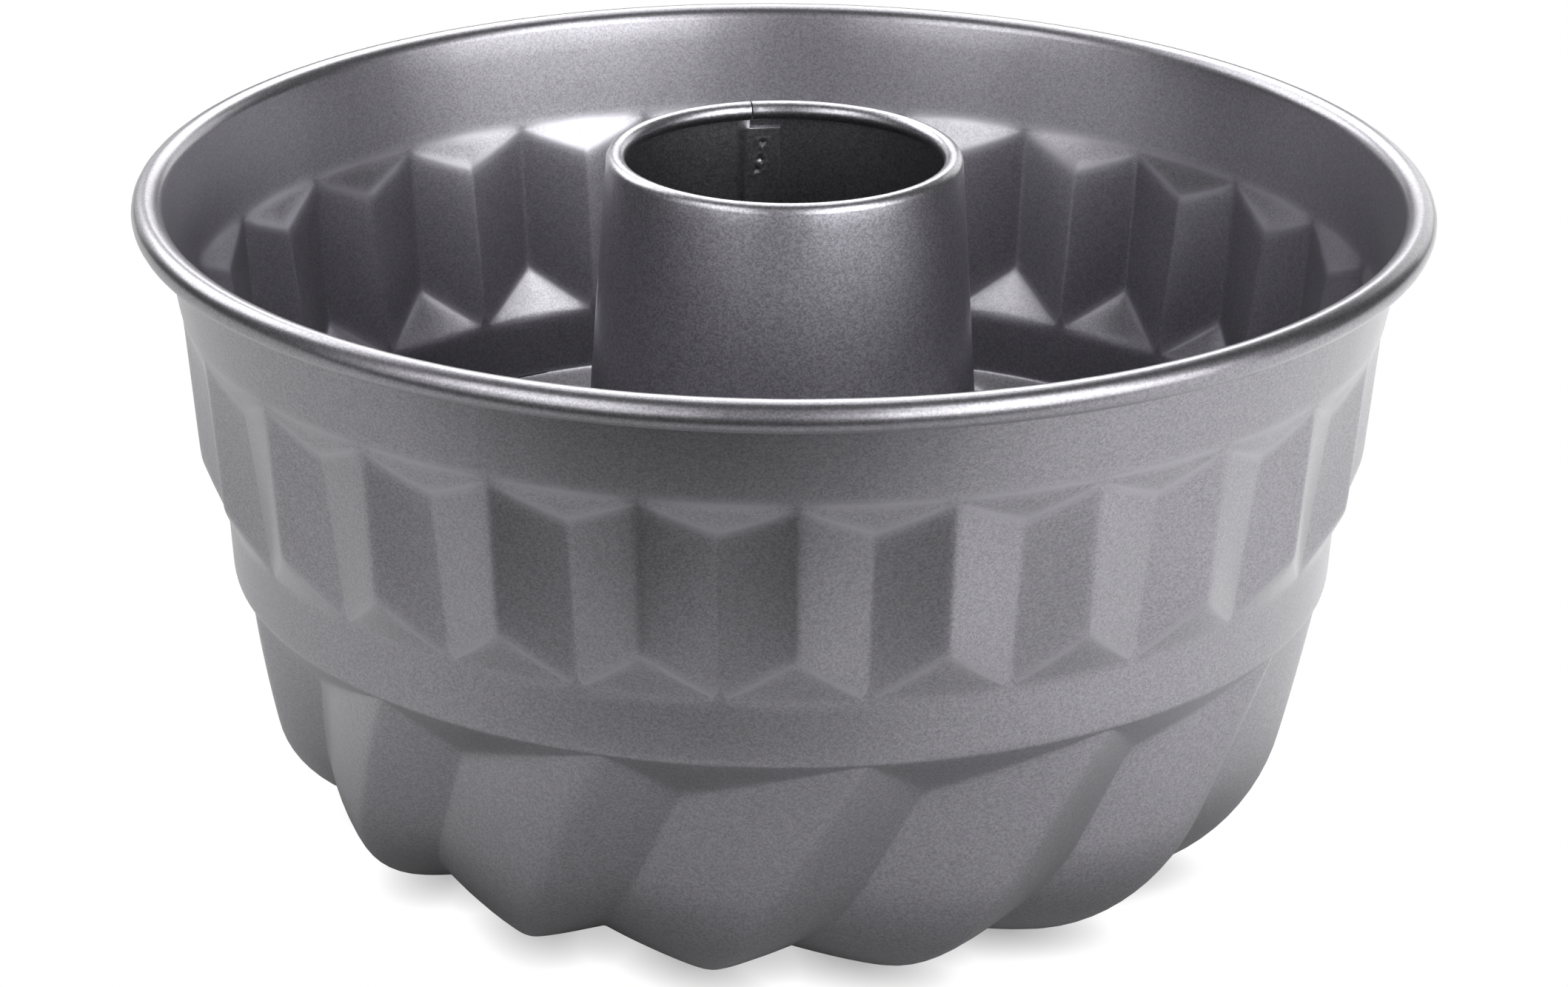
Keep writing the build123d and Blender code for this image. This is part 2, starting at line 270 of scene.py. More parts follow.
@dataclass(frozen=True)
class PaleTable:
    """Pale table top, painted paler on the key side as a pool of its light, with a black card ahead of
    the pan and painted shade under it.

    The eye sees it white, with the pan's shadow; the pan sees the table itself.
    """

    # tones of the painted pool of key light, from the left to the key side
    left_tone: float = 0.55
    right_tone: float = 0.91
    left_edge: float = -60 * MM
    right_edge: float = 160 * MM
    card_start: float = 160 * MM
    card_end: float = 240 * MM
    card_slant: float = 0.20
    # painted shade: a darker disc under the pan, seen only by the pan
    under_shade_radius: float = 78 * MM
    under_shade_fade: float = 50 * MM
    under_shade_share: float = 0.42
    grain_size: float = 15 * MM
    grain: float = 0.06
    paper_roughness: float = 0.9
    shadow_reach: float = 7 * MM
    shadow_clear: float = 0.75
    shadow_curve: float = 0.6
    shadow_tone: float = 0.24
    shadow_samples: int = 24
    white: float = 1.0

    def material(self, name: str) -> bpy.types.Material:
        """Build the table's material.

        Args:
            name: the material's name.

        Returns:
            Lit paper for the pan, under a white with its contact shadow for the eye.
        """
        bench = Bench(name)
        place = bench.place()
        axes = bench.node("ShaderNodeSeparateXYZ", None, {"Vector": place}).outputs
        across = Signal(bench, axes["X"])
        ahead = -1 * Signal(bench, axes["Y"]) - across * self.card_slant
        card = ahead.step(self.card_start, self.card_end)
        side = across.step(self.left_edge, self.right_edge)
        # painted light: the table is paler towards the key side
        tone = side * (self.right_tone - self.left_tone) + self.left_tone
        out = bench.signal("ShaderNodeVectorMath", {"operation": "LENGTH"}, {0: place}, "Value")
        # painted shade under the pan, fading out beyond its radius
        unshaded = out.step(self.under_shade_radius, self.under_shade_radius + self.under_shade_fade)
        unshaded = unshaded * (1 - self.under_shade_share) + self.under_shade_share
        grain = bench.noise(place, self.grain_size, 2.0) * self.grain + (1 - self.grain / 2)
        paper = bench.node("ShaderNodeBsdfPrincipled", None, {
            "Base Color": bench.blend(tone * grain * unshaded * (1 - card), (0, 0, 0, 1), (1, 1, 1, 1)),
            "Roughness": self.paper_roughness,
        })
        near = bench.signal("ShaderNodeAmbientOcclusion", {"samples": self.shadow_samples},
                            {"Distance": self.shadow_reach}, "AO")
        near = near.step(0.0, self.shadow_clear) ** self.shadow_curve
        shade = bench.blend(near, (self.shadow_tone,) * 3 + (1,), (1, 1, 1, 1))
        white = bench.node("ShaderNodeEmission", None, {"Color": shade, "Strength": self.white})
        seen = Signal(bench, bench.node("ShaderNodeLightPath").outputs["Is Camera Ray"])
        return bench.finish(bench.node("ShaderNodeMixShader", None, {
            0: seen, 1: paper.outputs[0], 2: white.outputs[0],
        }))


# ---- geometry helpers -------------------------------------------------------------------
def soft_min(first: float, second: float, width: float) -> float:
    """The smaller of two values, with a rounded changeover of that width."""
    return 0.5 * (first + second - math.hypot(first - second, width))


def soft_max(first: float, second: float, width: float) -> float:
    """The larger of two values, with a rounded changeover of that width."""
    return 0.5 * (first + second + math.hypot(first - second, width))


def between(low: float, high: float, share: float) -> float:
    """The value a share of the way from low to high."""
    return low + (high - low) * share


def eased(share: float) -> float:
    """A share from 0 to 1 with a soft start and end."""
    return share * share * (3 - 2 * share)


@dataclass(frozen=True)
class Slope:
    """A straight stretch of a profile, as the radius at a height and its change with height."""

    radius: float
    height: float
    rate: float

    def at(self, height: float) -> float:
        """Radius at a height."""
        return self.radius + self.rate * (height - self.height)


def slope_through(low: tuple[float, float], high: tuple[float, float]) -> Slope:
    """The Slope through two (radius, height) points."""
    return Slope(low[0], low[1], (high[0] - low[0]) / (high[1] - low[1]))


def around(radius: float, height: float, angle: float) -> Vector:
    """A point at a radius and height, an angle in degrees round from the front towards +X."""
    turn = math.radians(angle)
    return Vector((radius * math.sin(turn), -radius * math.cos(turn), height))


def polar(centre: tuple[float, float], radius: float, angle: float) -> tuple[float, float]:
    """Profile point at a radius and an angle in degrees round another profile point."""
    turn = math.radians(angle)
    return centre[0] + radius * math.cos(turn), centre[1] + radius * math.sin(turn)


class Zone(Enum):
    """The stretches of the pressed shell, from the free edge of the rim to that of the hole."""

    ROLL = 0
    COLLAR = 1
    SHELF = 2
    FACET = 3
    STEP = 4
    BAND = 5
    FLUTE_SHELF = 6
    FLUTE_WALL = 7
    FLUTE_FLOOR = 8
    HOLE_RISE = 9
    HOLE_BEND = 10
    HOLE_COLLAR = 11


# shares of each zone at which a ring of vertices lies
RINGS: dict[Zone, list[float]] = {
    Zone.ROLL: [step / 26 for step in range(26)],
    Zone.COLLAR: [0, 0.25, 0.5, 0.75, 0.9, 0.96],
    Zone.SHELF: [0, 0.12, 0.35, 0.65, 0.88],
    Zone.FACET: [0, 0.02, 0.06, 0.14, 0.38, 0.62, 0.84, 0.93, 0.98],
    Zone.STEP: [0, 0.1, 0.3, 0.65, 0.88],
    Zone.BAND: [0, 0.05, 0.15, 0.4, 0.7, 0.88, 0.96],
    Zone.FLUTE_SHELF: [0, 0.04, 0.1, 0.25, 0.5, 0.75, 0.92],
    Zone.FLUTE_WALL: [0, 0.01, 0.03, 0.07] + [0.12 + 0.88 * step / 23 for step in range(23)],
    Zone.FLUTE_FLOOR: [step / 12 for step in range(12)],
    Zone.HOLE_RISE: [0, 0.5],
    Zone.HOLE_BEND: [step / 9 for step in range(9)],
    Zone.HOLE_COLLAR: [0, 1],
}

# how strongly a painted highlight lightens the rings along a facet's outline
HIGHLIGHT_RINGS: dict[tuple[Zone, float], float] = {
    (Zone.COLLAR, 0.96): 0.4, (Zone.SHELF, 0): 1.0, (Zone.SHELF, 0.12): 0.5, (Zone.SHELF, 0.88): 0.5,
    (Zone.FACET, 0): 1.0, (Zone.FACET, 0.02): 0.6, (Zone.FACET, 0.98): 0.5, (Zone.STEP, 0): 1.0,
    (Zone.STEP, 0.1): 0.5,
}


@dataclass
class PressedShell:
    """The pan's one-piece pressing, with its rolled rim and the collar of its centre hole.

    Heights are above the floor and radii from the axis; the surface that is worked out is the
    outer one, and the sheet's thickness lies on the cake's side of it.
    """

    sheet: float = 0.6 * MM
    rim_radius: float = 110.0 * MM
    bead_radius: float = 2.65 * MM
    bead_height: float = 113.9 * MM
    roll: float = 318.0
    facets: int = 26
    facet_phase: float = 1.4
    collar_foot: tuple[float, float] = (102.4 * MM, 97.3 * MM)
    ridge_top: tuple[float, float] = (102.25 * MM, 97.3 * MM)
    ridge_bottom: tuple[float, float] = (100.0 * MM, 70.3 * MM)
    valley_apex: tuple[float, float] = (99.75 * MM, 91.9 * MM)
    valley_bottom: tuple[float, float] = (95.3 * MM, 61.8 * MM)
    band_top: tuple[float, float] = (95.5 * MM, 61.8 * MM)
    band_foot: tuple[float, float] = (94.8 * MM, 50.4 * MM)
    flutes: int = 14
    flute_phase: float = 8.46
    flute_split: float = 0.40
    flute_twist: float = 0.311 / MM
    flute_depth: float = 5.79 * MM
    draft: float = math.radians(12.57)
    outer_bend: float = 30.4 * MM
    inner_bend: float = 20.0 * MM
    inner_turn: float = math.radians(55.0)
    flute_start: int = 7
    flute_fade: tuple[float, float] = (0.25 * MM, 0.27 * MM)
    flute_run: float = 60 * MM
    land_run: float = 69 * MM
    ridge_softness: tuple[float, float] = (0.112, 0.097)
    valley_softness: float = 0.035
    shelf_rate: float = 0.56
    shelf_edge: float = 0.4 * MM
    shelf_corner: int = 12
    edge: float = 0.5 * MM
    valley_edge_share: float = 0.7
    brow_edge_share: float = 0.6
    band_edge_share: float = 0.8
    ridge_stand: float = 0.15 * MM
    least_step: float = 0.6 * MM
    band_ring_drop: float = 0.4 * MM
    hole_bend: float = 1.9 * MM
    hole_edge: float = 6.3 * MM

    def __post_init__(self) -> None:
        """Work out the lines and runs that the zones share."""
        self.steps = math.lcm(self.facets, self.flutes) * 2
        self.facet_pitch = 360 / self.facets
        self.flute_pitch = 360 / self.flutes
        self.rim_centre = (self.rim_radius - self.bead_radius, self.bead_height)
        self.bore = self.bead_radius - self.sheet
        reach = math.dist(self.collar_foot, self.rim_centre)
        across = self.rim_centre[0] - self.collar_foot[0]
        lean = math.asin(across / reach) - math.asin(self.bore / reach)
        self.touch_angle = 180 - math.degrees(lean)
        touch = polar(self.rim_centre, self.bore, self.touch_angle)
        self.touch_height = touch[1]
        self.collar = slope_through(self.collar_foot, touch)
        self.ridge = slope_through(self.ridge_bottom, self.ridge_top)
        self.valley = slope_through(self.valley_bottom, self.valley_apex)
        self.shelf = slope_through(self.valley_apex, self.collar_foot)
        self.step = slope_through(self.band_top, self.ridge_bottom)
        self.band = slope_through(self.band_foot, self.band_top)
        # the rounding of the ridges lifts them, so the floor's line lies lower by as much
        self.floor_drop = 0.5 * self._depth(self.land_run) * self._ridge_softness(self.land_run)
        drop = self.band_foot[1] + self.floor_drop - self.outer_bend * (1 - math.sin(self.draft))
        self.bend_run = drop / math.cos(self.draft)
        self.floor_run = self.bend_run + self.outer_bend * (math.pi / 2 - self.draft)
        self.end_run = self.floor_run + self.inner_bend * self.inner_turn
        self.floor_radius = (self.band_foot[0] - math.sin(self.draft) * self.bend_run
                             - self.outer_bend * math.cos(self.draft))

    # -- where the columns of vertices run --
    def _facet_column(self, column: int) -> tuple[float, float]:
        """Angle of a column in the upper tier, and its share of the way from ridge to valley.

        Args:
            column: which column of vertices.

        Returns:
            The angle in degrees and the share.
        """
        marks = (0, 0.035, 0.1, 0.3, 0.7, 0.9, 0.965, 1)
        pitch, place = divmod(column, self.steps // self.facets)
        half, mark = divmod(place, len(marks) - 1)
        share = marks[mark] if half == 0 else 1 - marks[len(marks) - 1 - mark]
        angle = self.facet_phase + (pitch + (half + share) / 2) * self.facet_pitch
        return angle, share if half == 0 else 1 - share

    def _flute_column(self, column: int) -> tuple[float, float]:
        """Angle at the band of a column of the lower tier, and its place in the flute, 0 to 1.

        Args:
            column: which column of vertices.

        Returns:
            The angle in degrees and the place.
        """
        marks = (0, 0.02, 0.05, 0.095, 0.16, 0.26, 0.39, 0.53, 0.67, 0.8, 0.9, 0.955, 0.985, 1)
        pitch, place = divmod(column - self.flute_start, self.steps // self.flutes)
        side, mark = divmod(place, len(marks) - 1)
        if side == 0:
            share = self.flute_split * marks[mark]
        else:
            share = 1 - (1 - self.flute_split) * marks[len(marks) - 1 - mark]
        return self.flute_phase + (pitch + share) * self.flute_pitch, share

    # -- the upper tier --
    def _upper_radius(self, height: float, share: float) -> float:
        """Radius of the upper tier at a height, at a share of the way from ridge to valley.

        Args:
            height: the height in metres.
            share: 0 on a ridge, 1 in a valley.

        Returns:
            The radius in metres.
        """
        half = math.pi / self.facets
        ridge = self.ridge.at(height)
        valley = self.valley.at(height)
        softness = self.edge / ridge
        angle = math.hypot(share * half, softness) - softness
        softness = self.valley_edge_share * self.edge / ridge
        angle = half - (math.hypot(half - angle, softness) - softness)
        facet = 1 / (math.cos(angle) / ridge
                     + (1 / valley - math.cos(half) / ridge) * math.sin(angle) / math.sin(half))
        limit = max(self.collar.at(height), ridge + self.ridge_stand)
        radius = soft_max(facet, self.shelf.at(height), self.edge)
        radius = soft_min(radius, limit, self.brow_edge_share * self.edge)
        radius = soft_min(radius, self.step.at(height), self.edge)
        return soft_max(radius, self.band.at(height), self.band_edge_share * self.edge)

    def _facet_ends(self, share: float) -> tuple[float, float, float]:
        """Heights at which a facet meets the shelf above, the step below, and the band.

        Args:
            share: 0 on a ridge, 1 in a valley.

        Returns:
            The three heights, from the top down.
        """
        half = math.pi / self.facets
        radii = []
        for height in (self.collar_foot[1], self.band_top[1]):
            ridge, valley = self.ridge.at(height), self.valley.at(height)
            radii.append(1 / (math.cos(share * half) / ridge + (1 / valley - math.cos(half) / ridge)
                              * math.sin(share * half) / math.sin(half)))
        rate = (radii[0] - radii[1]) / (self.collar_foot[1] - self.band_top[1])
        top = self.collar_foot[1] - (self.collar_foot[0] - radii[0]) / (self.shelf.rate - rate)
        over = radii[1] - self.band_top[0]
        foot = self.band_top[1] + max(0.0, -over) / (rate - self.band.rate)
        low = self.band_top[1] + max(0.0, over) / (self.step.rate - rate)
        low = max(low, foot + self.least_step)
        return top, low, foot

    # -- the lower tier --
    def _envelope(self, run: float) -> tuple[float, float, float]:
        """Radius, height and slope in radians from the vertical of the line over the ridges.

        Args:
            run: distance down from the band's foot along the profile.

        Returns:
            The radius, the height and the slope.
        """
        if run <= self.bend_run:
            return (self.band_foot[0] - math.sin(self.draft) * run,
                    self.band_foot[1] - math.cos(self.draft) * run, self.draft)
        bend = self.outer_bend if run <= self.floor_run else self.inner_bend
        slope = math.pi / 2 + (run - self.floor_run) / bend
        height = -self.floor_drop + bend * (1 - math.sin(slope))
        return self.floor_radius + bend * math.cos(slope), height, slope

    def _depth(self, run: float) -> float:
        """Depth of the flutes at a run, before it fades out beside the chimney."""
        part = run / self.flute_run
        return self.flute_depth - self.flute_fade[0] * part - self.flute_fade[1] * part * part

    def _ridge_softness(self, run: float) -> float:
        """Width of the rounding of a ridge, as a share of the flutes' depth."""
        return self.ridge_softness[0] + self.ridge_softness[1] * run / self.flute_run

    def _flute_profile(self, place: float, run: float) -> float:
        """Share of the flutes' depth at a place across a flute: 0 on a sharp ridge, 1 in a valley.

        Args:
            place: the place across the flute, from 0 to 1.
            run: distance down from the band's foot along the profile.

        Returns:
            The share of the depth.
        """
        rise, fall = self.flute_split, 1 - self.flute_split
        softness = self._ridge_softness(run)
        share = soft_min(place / rise, (1 - place) / fall, self.valley_softness)
        share = soft_max(share, -place / fall, softness)
        return soft_max(share, (place - 1) / rise, softness)

    def _flute_depth(self, run: float, column: int) -> float:
        """Depth of a column below the ridges' line: the flute, or the shelf that it starts from.

        Args:
            run: distance down from the band's foot along the profile.
            column: which column of vertices.

        Returns:
            The depth in metres.
        """
        place = self._flute_column(column)[1]
        level = min(max(run, 0.0), self.floor_run)
        depth = self._depth(level) * self._flute_profile(place, level)
        ramp = self.shelf_rate * 0.5 * (run + math.hypot(run, self.shelf_edge))
        power = -self.shelf_corner
        depth = (depth ** power + ramp ** power) ** (1 / power)
        fade = min(max((run - self.floor_run) / (self.end_run - self.floor_run), 0.0), 1.0)
        return depth * (1 - eased(fade))

    def _lower_point(self, run: float, column: int) -> Vector:
        """Point of the lower tier at a run down from the band's foot.

        Args:
            run: distance down from the band's foot along the profile.
            column: which column of vertices.

        Returns:
            The point, in metres in the pan's frame.
        """
        depth = self._flute_depth(run, column)
        radius, height, slope = self._envelope(run)
        height = max(height + depth * math.sin(slope), 0.0)
        turn = self._flute_column(column)[0] - self.flute_twist * run
        return around(radius - depth * math.cos(slope), height, turn)

    def _shelf_run(self, column: int) -> float:
        """Run at which a flute's shelf ends in a column."""
        place = self._flute_column(column)[1]
        return self._depth(0.0) * self._flute_profile(place, 0.0) / self.shelf_rate

    def _hole_lines(self) -> tuple[tuple[float, float], float, float]:
        """Centre of the hole's bend, and the angles at which the sheet enters and leaves it.

        Returns:
            The centre as a profile point, and the two angles in degrees.
        """
        wall = Chimney().wall
        lean = math.atan(-wall.rate)
        radius, height, slope = self._envelope(self.end_run)
        rise = slope - math.pi / 2
        bore = self.hole_bend - self.sheet
        along = (-math.cos(rise), math.sin(rise))
        inward = (-math.sin(rise), -math.cos(rise))
        start = (radius + bore * inward[0], height + bore * inward[1])
        gap = self.hole_bend / math.cos(lean)
        run = (start[0] - gap - wall.at(start[1])) / (wall.rate * along[1] - along[0])
        centre = (start[0] + run * along[0], start[1] + run * along[1])
        return centre, 90 - math.degrees(rise), 180 + math.degrees(lean)

    def point(self, zone: Zone, share: float, column: int) -> Vector:
        """Point of the shell's outer surface.

        Args:
            zone: the stretch of the profile.
            share: how far along that stretch, from 0 to 1.
            column: which column of vertices.

        Returns:
            The point, in metres in the pan's frame.
        """
        angle, facet = self._facet_column(column)
        if zone is Zone.ROLL:
            turn = between(self.touch_angle - self.roll, self.touch_angle, share)
            return around(*polar(self.rim_centre, self.bore, turn), angle)
        top, low, foot = self._facet_ends(facet)
        ends = {
            Zone.COLLAR: (self.touch_height, self.collar_foot[1]),
            Zone.SHELF: (self.collar_foot[1], top),
            Zone.FACET: (top, low),
            Zone.STEP: (low, foot),
        }
        if zone in ends:
            height = between(*ends[zone], share)
            radius = self.collar.at(height) if share == 0 and zone is Zone.COLLAR else (
                self._upper_radius(height, facet))
            return around(radius, height, angle)
        if zone is Zone.BAND:
            level = self.band_top[1] - self.band_ring_drop
            height = foot if share == 0 else between(level, self.band_foot[1], share)
            target = self._flute_column(column)[0]
            tuck = self._flute_depth(self.band_foot[1] - height, column) * math.cos(self.draft)
            return around(self._upper_radius(height, facet) - tuck, height,
                          between(angle, target, eased(share)))
        shelf_run = self._shelf_run(column)
        if zone is Zone.FLUTE_SHELF:
            return self._lower_point(between(0.0, shelf_run, share), column)
        if zone is Zone.FLUTE_WALL:
            return self._lower_point(between(shelf_run, self.floor_run, share), column)
        if zone is Zone.FLUTE_FLOOR:
            return self._lower_point(between(self.floor_run, self.end_run, share), column)
        turn = self._flute_column(column)[0] - self.flute_twist * self.end_run
        centre, enter, leave = self._hole_lines()
        bore = self.hole_bend - self.sheet
        if zone is Zone.HOLE_RISE:
            start = self._envelope(self.end_run)[:2]
            end = polar(centre, bore, enter)
            return around(between(start[0], end[0], share), between(start[1], end[1], share), turn)
        start = polar(centre, bore, leave)
        if zone is Zone.HOLE_BEND:
            return around(*polar(centre, bore, between(enter, leave, share)), turn)
        wall = Chimney().wall
        gap = self.sheet / math.cos(math.atan(-wall.rate))
        height = between(start[1], self.hole_edge, share)
        return around(wall.at(height) + gap, height, turn)

    def _edge_highlight(self, zone: Zone, share: float, column: int) -> float:
        """How strongly a painted highlight lightens a facet's outline, from 0 to 1."""
        ring = HIGHLIGHT_RINGS.get((zone, round(share, 3)), 0.0)
        return ring * min(1.0, 0.25 + 3 * self._facet_column(column)[1])

    def build(self) -> bpy.types.Object:
        """Spin the profile's rings, press each vertex to the form and give the sheet its thickness.

        Returns:
            The finished piece, riding on the pan's body.
        """
        bm = bmesh.new()
        zone_layer = bm.verts.layers.int.new("zone")
        share_layer = bm.verts.layers.float.new("share")
        highlight_layer = bm.verts.layers.float.new(EDGE_HIGHLIGHT)
        chain = []
        for zone, shares in RINGS.items():
            for share in shares:
                vertex = bm.verts.new(self.point(zone, share, 0))
                vertex[zone_layer] = zone.value
                vertex[share_layer] = share
                chain.append(vertex)
        # the profile is spun as a plain outline: only its order and its marks matter
        for number, vertex in enumerate(chain):
            vertex.co = around(100 * MM, -number * MM, 0)
        edges = [bm.edges.new(pair) for pair in zip(chain, chain[1:])]
        bmesh.ops.spin(bm, geom=chain + edges, cent=(0, 0, 0), axis=(0, 0, 1), dvec=(0, 0, 0),
                       angle=math.tau, steps=self.steps, use_merge=True)
        bmesh.ops.recalc_face_normals(bm, faces=bm.faces[:])
        for vertex in bm.verts:
            turn = math.atan2(vertex.co.x, -vertex.co.y) % math.tau
            column = round(turn / math.tau * self.steps) % self.steps
            ring = Zone(vertex[zone_layer]), vertex[share_layer]
            vertex.co = self.point(*ring, column)
            # each vertex carries how strongly the painted highlight lightens it
            vertex[highlight_layer] = self._edge_highlight(*ring, column)
        turn_outwards(bm, self.band_top[1], self.rim_centre[1])
        piece = finished_piece("pressed_shell", bm)
        thicken(piece, self.sheet)
        return piece


# ---- chimney ----------------------------------------------------------------------------
@dataclass
class Chimney:
    """The chimney: a tapered tube rolled from sheet, with its curl, hem and lapped seam."""

    sheet: float = 0.5 * MM
    radius: float = 30.7 * MM
    level: float = 113.9 * MM
    taper: float = 0.0675
    top: float = 121.5 * MM
    curl_radius: float = 1.65 * MM
    curl_roll: float = 300.0
    collar_sheet: float = 0.6 * MM
    hem_foot: float = 5.4 * MM
    hem_top: float = 9.1 * MM
    seam: float = 192.0
    seam_gap: float = 0.25 * MM
    lap: float = 10.3
    joggle: float = 4.2
    lap_clearance: float = 0.05 * MM
    lap_top: float = 116.4 * MM
    lap_bottom: float = 8.4 * MM
    notch: float = 1.0 * MM
    curl_steps: int = 28
    fine_ring: float = 0.35 * MM
    fine_rings: int = 30
    plain_rings: int = 16
    hem_steps: int = 8
    round_steps: int = 176
    joggle_steps: int = 8
    lap_steps: int = 26
    edge_easing: float = 0.2 * MM
    edge_segments: int = 3
    edge_angle: float = math.radians(50)
    weld_radius: float = 0.6 * MM
    weld_depth: float = 0.22 * MM
    weld_raggedness: float = 0.25
    weld_moat: float = 0.35
    moat_place: float = 1.5
    moat_width: float = 0.4
    snap: float = 0.001 * MM
    slack: float = 0.01
    welds: tuple[tuple[float, float], ...] = (
        (0.6, 113.6), (1.4, 110.6), (2.6, 108.6), (0.0, 30.0), (-0.5, 24.0), (0.0, 18.0))

    def __post_init__(self) -> None:
        """Work out the wall's line."""
        self.wall = Slope(self.radius, self.level, -self.taper)
        self.lean = math.degrees(math.atan(self.taper))

    def _offset(self, distance: float, height: float) -> tuple[float, float]:
        """Profile point at a height, beside the wall's outer face by a distance outwards."""
        return self.wall.at(height) + distance * math.hypot(1, self.taper), height

    def _outline(self) -> list[tuple[float, float]]:
        """Profile points of the sheet's outer face, from the curl's end to the hem's.

        Returns:
            The points, each a radius and a height in metres.
        """
        curl = self._offset(-self.curl_radius, self.top - self.curl_radius)
        points = []
        for step in range(self.curl_steps + 1):
            angle = self.lean + self.curl_roll * (1 - step / self.curl_steps)
            points.append(polar(curl, self.curl_radius, angle))
        heights = [self.lap_top + self.notch, self.lap_top]
        heights += [self.lap_top - self.fine_ring * step for step in range(1, self.fine_rings + 1)]
        low = self.hem_foot + self.collar_sheet / 2 + self.sheet
        last = heights[-1]
        heights += [between(last, self.lap_bottom, step / self.plain_rings)
                    for step in range(1, self.plain_rings + 1)]
        heights.append(self.lap_bottom - self.notch)
        points += [(self.wall.at(height), height) for height in heights]
        hem = self._offset(self.collar_sheet / 2, low)
        for step in range(self.hem_steps + 1):
            turn = 180 + self.lean + 180 * step / self.hem_steps
            points.append(polar(hem, self.collar_sheet / 2, turn))
        points.append(self._offset(self.collar_sheet, self.hem_top))
        return points

    def _weld_relief(self, angle: float, height: float) -> float:
        """How far the lap's sheet is pressed out at a weld.

        Args:
            angle: the place round the tube, in degrees.
            height: the height in metres.

        Returns:
            The distance in metres.
        """
        relief = 0.0
        for number, (shift, level) in enumerate(self.welds):
            centre = self.seam - self.lap / 2 + shift
            across = math.radians(angle - centre) * self.wall.at(height)
            along = height - level * MM
            ragged = 1 + self.weld_raggedness * math.sin(3 * math.atan2(along, across) + 2.1 * number)
            distance = math.hypot(across, along) / (self.weld_radius * ragged)
            dot = math.exp(-distance ** 4)
            moat = math.exp(-((distance - self.moat_place) / self.moat_width) ** 2)
            relief += self.weld_depth * (dot - self.weld_moat * moat)
        return relief

    def build(self) -> bpy.types.Object:
        """Spin the rolled sheet, step its end in at the seam and lap it under the other end.

        Returns:
            The finished piece, riding on the pan's body.
        """
        half_gap = math.degrees(self.seam_gap / 2 / self.radius)
        start = self.seam + half_gap
        sweep = 360 - 2 * half_gap
        steps, fine = self.round_steps, self.joggle_steps
        bm = bmesh.new()
        chain = [bm.verts.new(around(radius, height, start)) for radius, height in self._outline()]
        edges = [bm.edges.new(pair) for pair in zip(chain, chain[1:])]
        bmesh.ops.spin(bm, geom=chain + edges, cent=(0, 0, 0), axis=(0, 0, 1), dvec=(0, 0, 0),
                       angle=math.radians(sweep), steps=steps, use_merge=False)
        step_in = self.sheet + self.lap_clearance
        edge_ring = []
        low, high = self.lap_bottom - self.snap, self.lap_top + self.snap
        for vertex in bm.verts:
            turn = math.degrees(math.atan2(vertex.co.x, -vertex.co.y)) - start
            turn = (turn + self.slack) % 360 - self.slack
            column = round(turn / sweep * steps)
            if column <= fine:
                angle = self.joggle * column / fine
            else:
                angle = between(self.joggle, sweep, (column - fine) / (steps - fine))
            radius = math.hypot(vertex.co.x, vertex.co.y)
            if column < fine and low < vertex.co.z < high:
                radius -= step_in * eased(1 - column / fine)
                if column == 0:
                    edge_ring.append(vertex)
            vertex.co = around(radius, vertex.co.z, start + angle)
        free = [edge for edge in bm.edges if edge.is_boundary and edge.verts[0] in edge_ring
                and edge.verts[1] in edge_ring]
        bmesh.ops.spin(bm, geom=edge_ring + free, cent=(0, 0, 0), axis=(0, 0, 1), dvec=(0, 0, 0),
                       angle=-math.radians(self.lap + half_gap), steps=self.lap_steps, use_merge=False)
        bmesh.ops.remove_doubles(bm, verts=bm.verts[:], dist=self.snap)
        for vertex in bm.verts:
            radius = math.hypot(vertex.co.x, vertex.co.y)
            angle = math.degrees(math.atan2(vertex.co.x, -vertex.co.y)) % 360
            inner = radius < self.wall.at(vertex.co.z) - 0.9 * step_in and low < vertex.co.z < high
            if inner and angle <= start + self.slack:
                vertex.co = around(radius + self._weld_relief(angle, vertex.co.z), vertex.co.z, angle)
        bmesh.ops.recalc_face_normals(bm, faces=bm.faces[:])
        turn_outwards(bm, self.hem_top, self.lap_top)
        piece = finished_piece("chimney", bm)
        thicken(piece, self.sheet)
        edges = piece.modifiers.new("eased_edges", "BEVEL")
        edges.width = self.edge_easing
        edges.segments = self.edge_segments
        edges.limit_method = "ANGLE"
        edges.angle_limit = self.edge_angle
        # the eased edges take the piece's second material, a lighter coating: a painted highlight on them
        edges.material = 1
        return piece


def turn_outwards(bm: bmesh.types.BMesh, low: float, high: float) -> None:
    """Turn a sheet so that its faces look away from the pan's axis.

    Args:
        bm: the sheet's mesh, with its faces consistent.
        low: the height from which its wall is looked at.
        high: the height up to which it is looked at.
    """
    bm.normal_update()
    outward = 0.0
    for face in bm.faces:
        centre = face.calc_center_median()
        if low < centre.z < high:
            outward += face.normal.dot(centre * Vector((1, 1, 0)))
    if outward < 0:
        bmesh.ops.reverse_faces(bm, faces=bm.faces[:])


def thicken(piece: bpy.types.Object, sheet: float) -> None:
    """Give a piece its sheet thickness, on the side away from its outer face.

    Args:
        piece: the piece, a bare surface.
        sheet: the thickness in metres.
    """
    thickness = piece.modifiers.new("sheet", "SOLIDIFY")
    thickness.thickness = sheet
    thickness.offset = -1.0
    thickness.use_even_offset = True


def finished_piece(name: str, bm: bmesh.types.BMesh) -> bpy.types.Object:
    """Turn a bmesh into a smooth-shaded object at the origin.

    Args:
        name: the piece's name.
        bm: its mesh, which is freed.

    Returns:
        The object, linked to the scene.
    """
    mesh = bpy.data.meshes.new(name)
    for face in bm.faces:
        face.smooth = True
    bm.to_mesh(mesh)
    bm.free()
    piece = bpy.data.objects.new(name, mesh)
    bpy.context.scene.collection.objects.link(piece)
    return piece


